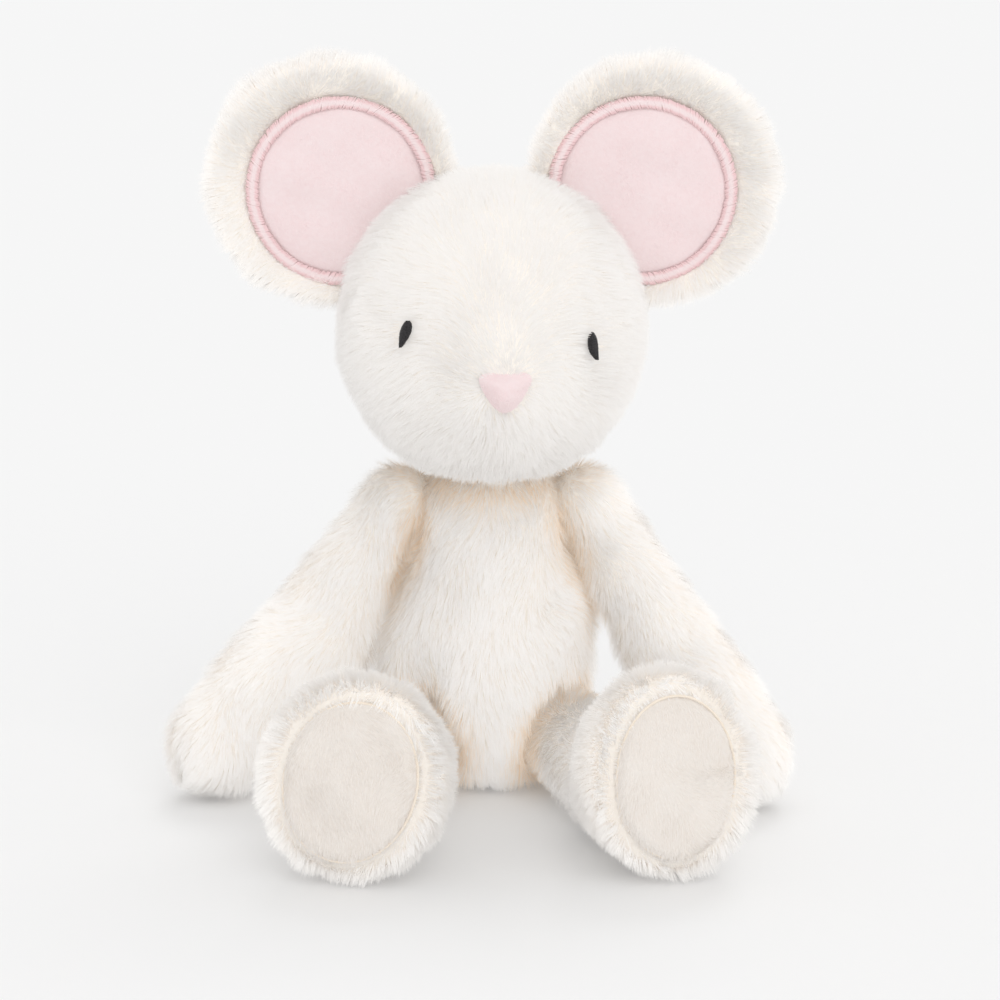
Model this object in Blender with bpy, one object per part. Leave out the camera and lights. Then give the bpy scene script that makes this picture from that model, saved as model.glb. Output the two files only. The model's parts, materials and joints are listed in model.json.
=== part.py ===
"""A seated plush mouse, sewn from panels of fur fabric over stuffing.

Metres, +Z up. The mouse faces -Y, its left side is at +X, and the origin is on the flat seat
under the torso. Each fur panel is modelled with its pile: its outside is where the tips of the
pile end, and its inside is the woven backing. Head, ears, arms, legs and tail are bodies of
their own. The head, the arms and the legs turn on round seats in or on the torso, and the ears
and the tail flex at the seam they are sewn on by.
"""

from math import asin, atan2, cos, exp, inf, log, pi, radians, sin, sqrt

import bmesh
import bpy
from mathutils import Matrix, Vector
from mathutils.bvhtree import BVHTree

MM = 0.001
SIDES = {"left": 1, "right": -1}

# Fabric and assembly
FABRIC = 6 * MM  # fur fabric, backing and pile together
GAP = 0.3 * MM  # between pieces that touch
SEAM = GAP / 2  # how far each half of a body stands off its seam
INSIDE = FABRIC + 2 * GAP  # how deep the stuffing starts
APPLIED_GAP = 0.5 * MM  # under a patch on a curved surface

# Torso, a pear: height, half width, half depth and middle's Y of each station, mm
TORSO_STATIONS = (
    (0, 20.0, 16.0, 4.0),
    (2, 24.5, 21.0, 3.5),
    (8, 29.0, 25.5, 2.5),
    (18, 30.6, 27.0, 1.0),
    (32, 30.8, 27.0, 0.0),
    (46, 29.6, 26.0, -0.5),
    (60, 27.5, 24.5, -1.0),
    (72, 25.0, 22.0, -1.5),
    (82, 20.5, 19.0, -2.0),
)
TORSO_COLUMNS = 22
POUCH_TOP = 25 * MM  # the pellet pouch fills the seat up to this height

# Neck: the torso ends in a ball, and the head sits on it
NECK = Vector((0.0, -2 * MM, 88 * MM))
NECK_R = 17 * MM
NECK_SEAT_R = 17.7 * MM

# Head: an egg with a muzzle; a gusset runs over it between two side panels
HEAD = Vector((0.0, -6 * MM, 138 * MM))
HEAD_HALF_WIDTH = 46.3 * MM
HEAD_HALF_DEPTH = 42 * MM
HEAD_UP = 48 * MM
HEAD_DOWN = 46.5 * MM
HEAD_SQUARENESS = 2.15
HEAD_COLUMNS = 28
MUZZLE_CROWDING = 0.4  # how far the head's rows crowd together at the muzzle
MUZZLE_OUT = 10 * MM
MUZZLE_X = 3 * MM  # the face looks slightly to its left
MUZZLE_HALF_WIDTH = 19 * MM
MUZZLE_PITCH = radians(-12)
MUZZLE_SPREAD = radians(34)
GUSSET_HALF_WIDTH = 14 * MM
EYE_SIZE = (3.2 * MM, 8.2 * MM)
EYE_THICK = 0.8 * MM
EYES = {"left": (28.3 * MM, 138.8 * MM), "right": (-24.2 * MM, 142.6 * MM)}  # X and Z
EYE_LEAN = radians(14)  # the tops lean inwards
NOSE_AT = (3.9 * MM, 130.3 * MM)
NOSE_CORNERS = ((5.0, 3.9), (-5.0, 3.9), (0.0, -4.6))  # middles of its round corners, mm
NOSE_CORNER_R = 2.4 * MM
NOSE_THICK = 2.4 * MM

# Ears: flat discs; the appliqué circle sits nearer the head than the disc's middle
EAR_RISE = radians(42)  # from level up to the line from the head through the ear
EAR_REACH = 62.5 * MM  # middle of the head to middle of the ear
EAR_R = 37.2 * MM
EAR_Y = 1 * MM
EAR_ROOT_R = 49.2 * MM  # the ear's root follows the head at this distance from its middle
EAR_HINGE_R = 48.4 * MM
EAR_HALF_THICK = 5.4 * MM
EAR_ROOT_HALF_THICK = 2.0 * MM
EAR_TAPER = 14 * MM  # the ear reaches its full thickness this far from its root
EAR_CUP = 2.5 * MM  # how far its side edges curl forward
EAR_COLUMNS = 40
PATCH_OFFSET = 4 * MM
PATCH_R = 27 * MM  # to the outside of the satin stitching
PATCH_MARGIN = 2.2 * MM  # from the root to the stitching
PATCH_THICK = 1.2 * MM
PATCH_FLOOR = 1.2 * MM
STITCH_WIDTH = 2.9 * MM
STITCH_THICK = 1.8 * MM
CORNER_SOFTNESS = 1.2 * MM

# Arms: from the shoulder ball to the round paw; share of length against radius in mm
SHOULDER = Vector((29 * MM, 0.0, 83 * MM))
SHOULDER_SEAT_R = 12.8 * MM
ARMPIT = 26 * MM  # how far down the arm the torso is hollowed for it
PAWS = {
    "left": Vector((72 * MM, -29 * MM, 16.5 * MM)),
    "right": Vector((-80 * MM, -20 * MM, 16.5 * MM)),
}
ARM_RADII = ((0.0, 12.0), (0.2, 12.2), (0.45, 13.5), (0.75, 16.2), (1.0, 16.5))
ARM_COLUMNS = 7
CAP_ROWS = 4

# Legs: from the hip ball to the sole, on the floor with the foot upright
HIP = Vector((25 * MM, -16 * MM, 15.5 * MM))
HIP_R = 15.5 * MM
HIP_SEAT_R = 16.4 * MM
LEG_LENGTH = 86 * MM
LEG_TURN = {"left": radians(17), "right": radians(9)}  # outward turn of the whole leg
FOOT_LEAN = {"left": radians(-8), "right": radians(-12)}  # the toes lean inwards
FOOT_HALF = {"left": (24.8 * MM, 30.5 * MM), "right": (27.0 * MM, 30.0 * MM)}
LEG_TO_FOOT = ((0.3, 0.0), (0.5, 0.08), (0.62, 0.34), (0.72, 0.7), (0.82, 0.93), (0.92, 1.0))
FOOT_ROUND = 2 * MM
SOLE_SHARE = (0.70, 0.79)  # of the foot's half width and half height
SOLE_CROWN = 1.2 * MM
LEG_COLUMNS = 8
HIP_SWING = (0, 8, 16, 24)  # degrees, the lifts that the torso leaves room for
HIP_REACH = 34 * MM

# Tail, lying on the floor behind
TAIL_R = (4.2 * MM, 2.8 * MM)  # at the root and at the tip
TAIL_PATH = ((0, 31.6, 10.5), (0, 62, 3), (16, 98, 4.3), (-26, 92, 3.2))  # mm
TAIL_ROWS = 16
TAIL_COLUMNS = 8

CREAM = (0.93, 0.89, 0.83)
SHORT_PILE = (0.90, 0.85, 0.79)
PINK = (0.92, 0.72, 0.73)
ROSE = (0.86, 0.56, 0.57)
BLACK = (0.03, 0.028, 0.028)
FIBRE = (0.95, 0.95, 0.94)
PELLET = (0.80, 0.80, 0.78)


# ------------------------------------------------------------ scene and mesh helpers


def clear_scene():
    for obj in list(bpy.data.objects):
        bpy.data.objects.remove(obj)


def material(name, colour, roughness=0.9):
    mat = bpy.data.materials.get(name) or bpy.data.materials.new(name)
    mat.use_nodes = True
    shader = mat.node_tree.nodes["Principled BSDF"]
    shader.inputs["Base Color"].default_value = (*colour, 1.0)
    shader.inputs["Roughness"].default_value = roughness
    shader.inputs["Metallic"].default_value = 0.0
    return mat


def fur():
    return material("cream_fur", CREAM)


def filling():
    return material("fibre_fill", FIBRE)


def place(empty):
    """Where an empty stands in the world; none of them is turned."""
    return empty.location + (place(empty.parent) if empty.parent else Vector())


def pivot(name, at, parent=None):
    """An empty on a joint, which the pieces of its body hang from."""
    empty = bpy.data.objects.new(name, None)
    empty.parent = parent
    empty.location = Vector(at) - (place(parent) if parent else Vector())
    bpy.context.scene.collection.objects.link(empty)
    return empty


def closed_object(name, quads, mat, parent=None):
    """One closed body from loose quads, joined where their corners meet."""
    bm = bmesh.new()
    for quad in quads:
        bm.faces.new([bm.verts.new(p) for p in quad])
    bmesh.ops.remove_doubles(bm, verts=bm.verts, dist=2e-6)
    bmesh.ops.recalc_face_normals(bm, faces=bm.faces)
    mesh = bpy.data.meshes.new(name)
    bm.to_mesh(mesh)
    bm.free()
    mesh.shade_smooth()
    mesh.set_sharp_from_angle(angle=radians(50))
    mesh.materials.append(mat)
    obj = bpy.data.objects.new(name, mesh)
    bpy.context.scene.collection.objects.link(obj)
    if parent is not None:
        mesh.transform(Matrix.Translation(-place(parent)))
        obj.parent = parent
    return obj


def cutter(name, bm, at=(0, 0, 0)):
    """A guide object that Booleans cut with."""
    mesh = bpy.data.meshes.new(name)
    bm.to_mesh(mesh)
    bm.free()
    obj = bpy.data.objects.new(name, mesh)
    obj.location = at
    obj.hide_render = True
    obj.display_type = "WIRE"
    bpy.context.scene.collection.objects.link(obj)
    return obj


def ball_cutter(name, at, radius):
    bm = bmesh.new()
    bmesh.ops.create_uvsphere(bm, u_segments=24, v_segments=16, radius=radius)
    return cutter(name, bm, at)


def limb_cutter(name, root, radius, places):
    """A hull round a limb's ball and round the same ball at some places along the limb."""
    bm = bmesh.new()
    for at in [Vector(), *places]:
        where = Matrix.Translation(at)
        bmesh.ops.create_uvsphere(bm, u_segments=24, v_segments=14, radius=radius, matrix=where)
    bmesh.ops.delete(bm, geom=bm.edges[:], context="EDGES_FACES")
    hull = bmesh.ops.convex_hull(bm, input=bm.verts)
    spare = {v for v in hull["geom_interior"] + hull["geom_unused"] if isinstance(v, bmesh.types.BMVert)}
    bmesh.ops.delete(bm, geom=list(spare), context="VERTS")
    return cutter(name, bm, root)


def slab_cutter(name, low, high):
    """A wide block between two heights."""
    bm = bmesh.new()
    bmesh.ops.create_cube(bm, size=1.0)
    bmesh.ops.scale(bm, vec=(0.3, 0.3, high - low), verts=bm.verts)
    return cutter(name, bm, (0, 0, (low + high) / 2))


def cut(obj, cutters):
    for tool in cutters:
        mod = obj.modifiers.new(tool.name, "BOOLEAN")
        mod.operation = "DIFFERENCE"
        mod.object = tool


def strip(row_a, row_b):
    """Quads between two rows of points."""
    return [(row_a[i], row_a[i + 1], row_b[i + 1], row_b[i]) for i in range(len(row_a) - 1)]


def sheet(rows):
    """Quads over a grid of points, row after row."""
    return [quad for a, b in zip(rows, rows[1:], strict=False) for quad in strip(a, b)]


def wall(outer, inner, open_end=False):
    """A wall between two grids, closed along its seams and, where asked, at its last row."""
    quads = sheet(outer) + sheet(inner)
    for side in (0, -1):
        quads += strip([row[side] for row in outer], [row[side] for row in inner])
    if open_end:
        quads += strip(outer[-1], inner[-1])
    return quads


def band(outer, inner):
    """A closed band between two grids of full rings."""
    return sheet(outer) + sheet(inner) + strip(outer[0], inner[0]) + strip(outer[-1], inner[-1])


def arcs(rows, u, v, start, turn, columns, offset):
    """Grid of points on elliptic sections (middle, half_u, half_v), from one angle on by turn."""
    angles = [start + turn * k / columns for k in range(columns + 1)]
    return [
        [middle + offset + u * (a * cos(t)) + v * (b * sin(t)) for t in angles]
        for middle, a, b in rows
    ]


def halves(names, sections, u, v, mat, columns, parent=None, open_end=False):
    """Two fur panels that meet at the seam where the sections' u axis runs."""
    pieces = []
    for name, start, sign in ((names[0], 0.0, 1), (names[1], pi, -1)):
        grids = [arcs(sections(d), u, v, start, pi, columns, v * SEAM * sign) for d in (0.0, FABRIC)]
        pieces.append(closed_object(name, wall(*grids, open_end), mat, parent))
    return pieces


# ------------------------------------------------------------ torso


def torso_sections(inset):
    """Level sections of the torso, from the flat seat to the top of the neck ball."""
    rows = []
    for height, half_width, half_depth, y in TORSO_STATIONS:
        middle = Vector((0.0, y * MM, max(height * MM, inset)))
        rows.append((middle, half_width * MM - inset, half_depth * MM - inset))
    rows.insert(0, (rows[0][0], 0.0, 0.0))
    radius = NECK_R - inset
    for k in range(CAP_ROWS + 1):
        angle = pi / 2 * k / CAP_ROWS
        across = radius * cos(angle)
        rows.append((NECK + Vector((0.0, 0.0, radius * sin(angle))), across, across))
    return rows


def torso(cutters):
    x, y = Vector((1, 0, 0)), Vector((0, 1, 0))
    names = ("torso_back", "torso_front")
    pieces = halves(names, torso_sections, x, y, fur(), TORSO_COLUMNS // 2)
    inner = arcs(torso_sections(INSIDE), x, y, 0.0, 2 * pi, TORSO_COLUMNS, Vector())
    stuffing = closed_object("torso_stuffing", sheet(inner), filling())
    pouch = closed_object("seat_pellet_pouch", sheet(inner), material("pellets", PELLET, 0.6))
    cut(stuffing, [slab_cutter("below_stuffing", -POUCH_TOP, POUCH_TOP + SEAM)])
    cut(pouch, [slab_cutter("above_pouch", POUCH_TOP - SEAM, NECK.z * 2)])
    for piece in (*pieces, stuffing, pouch):
        cut(piece, cutters)


# ------------------------------------------------------------ head


def head_point(x, v, inset):
    """A point of the head at width x and angle v, which is 0 at the front and rises upwards."""
    share = min(1.0, abs(x) / (HEAD_HALF_WIDTH - inset))
    shrink = (1 - share**HEAD_SQUARENESS) ** 0.5
    reach = (HEAD_UP if sin(v) > 0 else HEAD_DOWN) - inset
    turned = atan2(sin(v - MUZZLE_PITCH), cos(v - MUZZLE_PITCH)) / MUZZLE_SPREAD
    across = (x - MUZZLE_X) / MUZZLE_HALF_WIDTH
    out = MUZZLE_OUT * exp(-turned * turned - across * across) * min(1.0, 1.5 * shrink)
    depth = (HEAD_HALF_DEPTH - inset) * shrink + out
    return HEAD + Vector((x, -depth * cos(v), (reach * shrink + out) * sin(v)))


def head_rings(widths, inset):
    even = [2 * pi * k / HEAD_COLUMNS for k in range(HEAD_COLUMNS + 1)]
    angles = [MUZZLE_PITCH + t - MUZZLE_CROWDING * sin(t) for t in even]
    return [[head_point(x, v, inset) for v in angles] for x in widths]


def widths_to_pole(edge, inset, rows):
    """Widths from an edge out to the side of the head, closer together towards the side."""
    full = HEAD_HALF_WIDTH - inset
    first = asin(edge / full)
    return [edge] + [full * sin(first + (pi / 2 - first) * k / rows) for k in range(1, rows + 1)]


def head(parent):
    seat = ball_cutter("neck_seat", NECK, NECK_SEAT_R)
    pieces, skins = [], {}
    edge = GUSSET_HALF_WIDTH + SEAM
    for side, sign in SIDES.items():
        grids = [
            head_rings([sign * x for x in widths_to_pole(edge, inset, 6)], inset)
            for inset in (0.0, FABRIC)
        ]
        skins[side] = sheet(grids[0])
        quads = sheet(grids[0]) + sheet(grids[1]) + strip(grids[0][0], grids[1][0])
        pieces.append(closed_object(f"head_{side}_panel", quads, fur(), parent))
    inner_edge = GUSSET_HALF_WIDTH - SEAM
    widths = [inner_edge * k / 2 for k in range(-2, 3)]
    grids = [head_rings(widths, inset) for inset in (0.0, FABRIC)]
    skins["middle"] = sheet(grids[0])
    pieces.append(closed_object("head_gusset", band(*grids), fur(), parent))
    full = HEAD_HALF_WIDTH - INSIDE
    widths = [full * sin(pi / 2 * k / 6) for k in range(-6, 7)]
    pieces.append(closed_object("head_stuffing", sheet(head_rings(widths, INSIDE)), filling(), parent))
    for piece in pieces:
        cut(piece, [seat])
    return skins


def surface_tree(quads):
    points = [p for quad in quads for p in quad]
    faces = [tuple(range(i, i + 4)) for i in range(0, len(points), 4)]
    return BVHTree.FromPolygons(points, faces)


def applied_patch(name, tree, at, outline, thick, mat, parent):
    """A domed patch that lies on a surface seen from the front; outline is (right, up) pairs."""
    start = Vector((at[0], HEAD.y - 2 * HEAD_HALF_DEPTH, at[1]))
    middle, normal = tree.ray_cast(start, Vector((0, 1, 0)))[:2]
    if normal.y > 0:
        normal = -normal
    right = Vector((0, 0, 1)).cross(normal).normalized() * -1
    up = right.cross(normal)
    rings = {}
    for share, crown in ((0.0, 1.0), (0.35, 0.95), (0.7, 0.8), (1.0, 0.35)):
        base, top = [], []
        for a, b in [*outline, outline[0]]:
            above = middle + right * (a * share) + up * (b * share) + normal * HEAD_HALF_DEPTH
            hit = tree.ray_cast(above, -normal)[0]
            base.append(hit + normal * APPLIED_GAP)
            top.append(hit + normal * (APPLIED_GAP + thick * crown))
        rings[share] = (base, top)
    shares = sorted(rings)
    quads = sheet([rings[s][0] for s in shares]) + sheet([rings[s][1] for s in shares])
    quads += strip(*rings[shares[-1]])
    return closed_object(name, quads, mat, parent)


def eye_outline(lean, points=7):
    """An upright almond, its top leaning by an angle."""
    width, height = EYE_SIZE
    half = [(width / 2 * sin(pi * k / points), height * (0.5 - k / points)) for k in range(points)]
    loop = half + [(-a, -b) for a, b in half]
    return [(a * cos(lean) + b * sin(lean), b * cos(lean) - a * sin(lean)) for a, b in loop]


def nose_outline(steps=4, along_side=3):
    """A triangle on its point, with round corners."""
    loop = []
    for k, (x, y) in enumerate(NOSE_CORNERS):
        middle = radians(30 + 120 * k)
        for j in range(steps):
            t = middle + radians(120) * (j / (steps - 1) - 0.5)
            loop.append((x * MM + NOSE_CORNER_R * cos(t), y * MM + NOSE_CORNER_R * sin(t)))
        t = middle + radians(60)
        after = NOSE_CORNERS[(k + 1) % len(NOSE_CORNERS)]
        ahead = (after[0] * MM + NOSE_CORNER_R * cos(t), after[1] * MM + NOSE_CORNER_R * sin(t))
        start = loop[-1]
        for j in range(1, along_side + 1):
            share = j / (along_side + 1)
            loop.append(tuple(a + (b - a) * share for a, b in zip(start, ahead, strict=True)))
    return loop


def face(skins, parent):
    black = material("eye_thread", BLACK, 0.5)
    for side, sign in SIDES.items():
        tree = surface_tree(skins[side])
        outline = eye_outline(sign * EYE_LEAN)
        applied_patch(f"eye_{side}", tree, EYES[side], outline, EYE_THICK, black, parent)
    tree = surface_tree(skins["middle"])
    pink = material("pink_pile", PINK)
    applied_patch("nose", tree, NOSE_AT, nose_outline(), NOSE_THICK, pink, parent)


# ------------------------------------------------------------ ears


def softer_least(a, b):
    """The lesser of two lengths, with the corner where they cross rounded off."""
    low = min(a, b)
    return low - CORNER_SOFTNESS * log(1 + exp(-(max(a, b) - low) / CORNER_SOFTNESS)) if a + b < inf else low


def ear_outline(angle, middle, radius, root):
    """Distance from the patch's middle to a disc's edge or, if nearer, to the ear's root."""
    disc = middle * cos(angle) + sqrt(radius**2 - (middle * sin(angle)) ** 2)
    reach = EAR_REACH - PATCH_OFFSET
    under = (reach * cos(angle)) ** 2 - (reach**2 - root**2)
    if cos(angle) >= 0 or under <= 0:
        return disc
    return softer_least(disc, -reach * cos(angle) - sqrt(under))


class Ear:
    """One ear's place: its middle, its outward and sideways directions, and its layers' grids."""

    def __init__(self, side):
        sign = SIDES[side]
        self.out = Vector((sign * cos(EAR_RISE), 0.0, sin(EAR_RISE)))
        self.across = Vector((-sign * sin(EAR_RISE), 0.0, cos(EAR_RISE)))
        self.head = Vector((HEAD.x, EAR_Y, HEAD.z))
        self.middle = self.head + self.out * (EAR_REACH - PATCH_OFFSET)
        self.hinge = self.head + self.out * EAR_HINGE_R
        self.angles = [2 * pi * k / EAR_COLUMNS for k in range(EAR_COLUMNS + 1)]
        self.rim = [ear_outline(t, PATCH_OFFSET, EAR_R, EAR_ROOT_R) for t in self.angles]
        stitch_root = EAR_ROOT_R + PATCH_MARGIN
        self.stitch = [ear_outline(t, 0.0, PATCH_R, stitch_root) for t in self.angles]

    def ring(self, radii, height, share=0.0):
        """A ring at given radii, raised forward by height plus a share of the half thickness."""
        points = []
        for t, r in zip(self.angles, radii, strict=True):
            flat = self.middle + self.out * (r * cos(t)) + self.across * (r * sin(t))
            from_root = ((flat - self.head).length - EAR_ROOT_R) / EAR_TAPER
            grow = min(1.0, max(0.0, from_root))
            thick = EAR_ROOT_HALF_THICK + (EAR_HALF_THICK - EAR_ROOT_HALF_THICK) * grow
            cup = EAR_CUP * (r * sin(t) / EAR_R) ** 2
            points.append(flat - Vector((0.0, height + share * thick + cup, 0.0)))
        return points

    def part(self, share, radii=None):
        return [r * share for r in (radii or self.rim)]

    def border(self, share):
        """Radii between the outside of the stitching and the rim."""
        start = [r + GAP for r in self.stitch]
        return [a + (b - a) * share for a, b in zip(start, self.rim, strict=True)]


def ear(side, parent):
    place_of = Ear(side)
    hinge = pivot(f"ear_{side}_hinge", place_of.hinge, parent)
    ring, part, border = place_of.ring, place_of.part, place_of.border
    back = [ring(part(s), -SEAM) for s in (0.0, 1.0)]
    back += [ring(part(s), 0.0, -h) for s, h in ((1.0, 0.35), (0.93, 0.85), (0.7, 1.0), (0.0, 1.0))]
    closed_object(f"ear_{side}_back", sheet(back), fur(), hinge)
    front = [ring(part(s), SEAM) for s in (0.0, 1.0)]
    front += [ring(border(s), 0.0, h) for s, h in ((1.0, 0.35), (0.85, 0.85), (0.5, 1.0))]
    inner = [r - STITCH_WIDTH for r in place_of.stitch]
    pink = [r - GAP for r in inner]
    floor = (border(0.12), border(0.0), inner, part(0.5, pink), part(0.0))
    front += [ring(radii, PATCH_FLOOR) for radii in floor]
    closed_object(f"ear_{side}_front", sheet(front), fur(), hinge)
    low = PATCH_FLOOR + GAP
    edge, crest = low + STITCH_THICK * 0.8, low + STITCH_THICK
    between = [r - STITCH_WIDTH / 2 for r in place_of.stitch]
    profile = ((inner, low), (inner, edge), (between, crest), (place_of.stitch, edge))
    profile += ((place_of.stitch, low), (inner, low))
    stitches = sheet([ring(radii, height) for radii, height in profile])
    closed_object(f"ear_{side}_stitching", stitches, material("rose_thread", ROSE, 0.5), hinge)
    patch = [ring(part(s, pink), low) for s in (0.0, 0.5, 1.0)]
    patch += [ring(part(s, pink), low + PATCH_THICK) for s in (1.0, 0.5, 0.0)]
    closed_object(f"ear_{side}_patch", sheet(patch), material("pink_pile", PINK), hinge)


# ------------------------------------------------------------ arms and legs


def shoulder(side):
    return Vector((SIDES[side] * SHOULDER.x, SHOULDER.y, SHOULDER.z))


def arm(side):
    root = shoulder(side)
    along = PAWS[side] - root
    length = along.length
    along.normalize()
    outward = Vector((SIDES[side], 0, 0))
    outward = (outward - along * outward.dot(along)).normalized()
    forward = along.cross(outward)

    def sections(inset):
        first, last = (ARM_RADII[k][1] * MM - inset for k in (0, -1))
        rows = []
        for k in range(CAP_ROWS):
            angle = pi / 2 * (1 - k / CAP_ROWS)
            rows.append((-first * sin(angle), first * cos(angle)))
        rows += [(share * length, radius * MM - inset) for share, radius in ARM_RADII]
        for k in range(1, CAP_ROWS + 1):
            angle = pi / 2 * k / CAP_ROWS
            rows.append((length + last * sin(angle), last * cos(angle)))
        return [(root + along * s, r, r) for s, r in rows]

    joint = pivot(f"shoulder_{side}", root)
    names = (f"arm_{side}_outer", f"arm_{side}_inner")
    halves(names, sections, forward, outward, fur(), ARM_COLUMNS, joint)
    inner = arcs(sections(INSIDE), forward, outward, 0.0, 2 * pi, 2 * ARM_COLUMNS, Vector())
    closed_object(f"arm_{side}_stuffing", sheet(inner), filling(), joint)


def leg_frame(side):
    """The leg's directions: along it to the sole, and out to the toy's side."""
    sign, turn = SIDES[side], LEG_TURN[side]
    return Vector((sign * sin(turn), -cos(turn), 0)), Vector((sign * cos(turn), sin(turn), 0))


def leg(side):
    sign = SIDES[side]
    root = Vector((sign * HIP.x, HIP.y, HIP.z))
    along, outward = leg_frame(side)
    half_width, half_height = FOOT_HALF[side]
    lean = FOOT_LEAN[side]
    up = Vector((0, 0, cos(lean))) + outward * sin(lean)
    side_axis = outward * cos(lean) - Vector((0, 0, sin(lean)))

    def section(s, grow, inset, scale=(1.0, 1.0)):
        """A section at distance s, its half height and half width, with its underside on the floor."""
        a = HIP_R + (half_width - HIP_R) * grow
        b = HIP_R + (half_height - HIP_R) * grow
        height = sqrt((b * cos(lean)) ** 2 + (a * sin(lean)) ** 2)
        middle = Vector((root.x, root.y, height)) + along * s
        return middle, (b - inset) * scale[1], (a - inset) * scale[0]

    def opening(s, sink=0.0):
        """The sole's own outline at distance s."""
        middle = section(s, 1.0, 0.0)[0]
        return middle, half_height * SOLE_SHARE[1] - sink, half_width * SOLE_SHARE[0] - sink

    def body(inset):
        rows = []
        for k in range(CAP_ROWS):
            angle = pi / 2 * (1 - k / CAP_ROWS)
            across = (HIP_R - inset) * cos(angle)
            rows.append((root - along * (HIP_R - inset) * sin(angle), across, across))
        rows.append((root, HIP_R - inset, HIP_R - inset))
        front = LEG_LENGTH - inset
        rows += [section(front * share, grow, inset) for share, grow in LEG_TO_FOOT]
        rows.append(section(front - FOOT_ROUND * 0.7, 1.0, inset, (0.97, 0.97)))
        rows.append(section(front, 1.0, inset, (0.92, 0.92)))
        return rows

    def panel(inset):
        rows = body(inset)
        if inset:
            rows[-1] = opening(LEG_LENGTH - inset)
        return [*rows, opening(LEG_LENGTH - inset / 2)]

    joint = pivot(f"hip_{side}", root)
    names = (f"leg_{side}_outer", f"leg_{side}_inner")
    halves(names, panel, up, side_axis, fur(), LEG_COLUMNS, joint, open_end=True)
    stuffing = body(INSIDE)
    stuffing.append((stuffing[-1][0], 0.0, 0.0))
    inner = arcs(stuffing, up, side_axis, 0.0, 2 * pi, 2 * LEG_COLUMNS, Vector())
    closed_object(f"leg_{side}_stuffing", sheet(inner), filling(), joint)
    back, front = LEG_LENGTH - FABRIC + GAP, LEG_LENGTH + GAP
    rows = [opening(back, GAP), opening(front, GAP), opening(front + SOLE_CROWN * 0.8, 5 * MM)]
    rows.insert(0, (rows[0][0], 0.0, 0.0))
    rows.append((opening(front + SOLE_CROWN)[0], 0.0, 0.0))
    disc = arcs(rows, up, side_axis, 0.0, 2 * pi, 2 * LEG_COLUMNS, Vector())
    closed_object(f"leg_{side}_sole", sheet(disc), material("short_pile", SHORT_PILE), joint)


def swung_leg_cutter(side):
    """The room that the leg sweeps as it lifts."""
    sign = SIDES[side]
    along, _ = leg_frame(side)
    lifts = [radians(lift) for lift in HIP_SWING]
    places = [(along * cos(t) + Vector((0, 0, sin(t)))) * HIP_REACH for t in lifts]
    return limb_cutter(f"hip_{side}_room", (sign * HIP.x, HIP.y, HIP.z), HIP_SEAT_R, places)


def hanging_arm_cutter(side):
    root = shoulder(side)
    places = [(PAWS[side] - root).normalized() * ARMPIT]
    return limb_cutter(f"shoulder_{side}_room", root, SHOULDER_SEAT_R, places)


# ------------------------------------------------------------ tail


def bezier(points, t):
    a, b, c, d = (Vector(p) * MM for p in points)
    s = 1 - t
    return a * s**3 + b * (3 * s * s * t) + c * (3 * s * t * t) + d * t**3


def tail():
    joint = pivot("tail_root", bezier(TAIL_PATH, 0.0))
    rows = []
    for k in range(TAIL_ROWS + 1):
        t = k / TAIL_ROWS
        at, ahead = bezier(TAIL_PATH, t), bezier(TAIL_PATH, t + 0.01)
        along = (ahead - at).normalized()
        across = along.cross(Vector((0, 0, 1))).normalized()
        radius = TAIL_R[0] + (TAIL_R[1] - TAIL_R[0]) * t
        rows.append((at, across, across.cross(along), radius, along))
    ends = [(rows[0], -1), (rows[-1], 1)]
    rings = []
    for (at, across, up, radius, along), sign in ends:
        cap = []
        for k in range(1, 3):
            angle = pi / 4 * k
            centre = at + along * (sign * radius * 0.6 * sin(angle))
            cap.append((centre, across, up, radius * cos(angle), along))
        rings.append(cap)
    path = rings[0][::-1] + rows + rings[1]
    grid = []
    for at, across, up, radius, _ in path:
        angles = [2 * pi * k / TAIL_COLUMNS for k in range(TAIL_COLUMNS + 1)]
        grid.append([at + across * (radius * cos(a)) + up * (radius * sin(a)) for a in angles])
    closed_object("tail", sheet(grid), material("pink_pile", PINK), joint)


def main():
    clear_scene()
    tools = []
    for side in SIDES:
        tools += [hanging_arm_cutter(side), swung_leg_cutter(side)]
    torso(tools)
    neck = pivot("neck", NECK)
    skins = head(neck)
    face(skins, neck)
    for side in SIDES:
        ear(side, neck)
        arm(side)
        leg(side)
    tail()


main()
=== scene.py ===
"""The looks of a seated plush mouse: skins with real pile, stitched ears, eyes, nose and soles.

Every sewn body gets a closed skin, which is the woven backing pulled in under the pile, and pile
made of thin tapered blades that grow from it. All lengths are in metres.
"""

import json

from math import acos, cos, pi, radians, sin, sqrt

import bmesh
import bpy
import numpy as np
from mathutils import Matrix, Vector
from mathutils.bvhtree import BVHTree
from mathutils.kdtree import KDTree


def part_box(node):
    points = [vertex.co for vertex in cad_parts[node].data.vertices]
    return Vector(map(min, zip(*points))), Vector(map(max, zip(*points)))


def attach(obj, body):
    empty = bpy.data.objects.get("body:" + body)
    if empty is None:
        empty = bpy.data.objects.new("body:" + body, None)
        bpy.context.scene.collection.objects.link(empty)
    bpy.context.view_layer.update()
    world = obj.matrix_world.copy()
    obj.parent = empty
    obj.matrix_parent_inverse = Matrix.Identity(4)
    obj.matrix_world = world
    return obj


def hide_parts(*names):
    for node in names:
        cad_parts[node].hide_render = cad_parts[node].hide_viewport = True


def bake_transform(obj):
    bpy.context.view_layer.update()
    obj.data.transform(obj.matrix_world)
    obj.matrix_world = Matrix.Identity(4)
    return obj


MM = 0.001
SIDES = {"left": 1, "right": -1}

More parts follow.
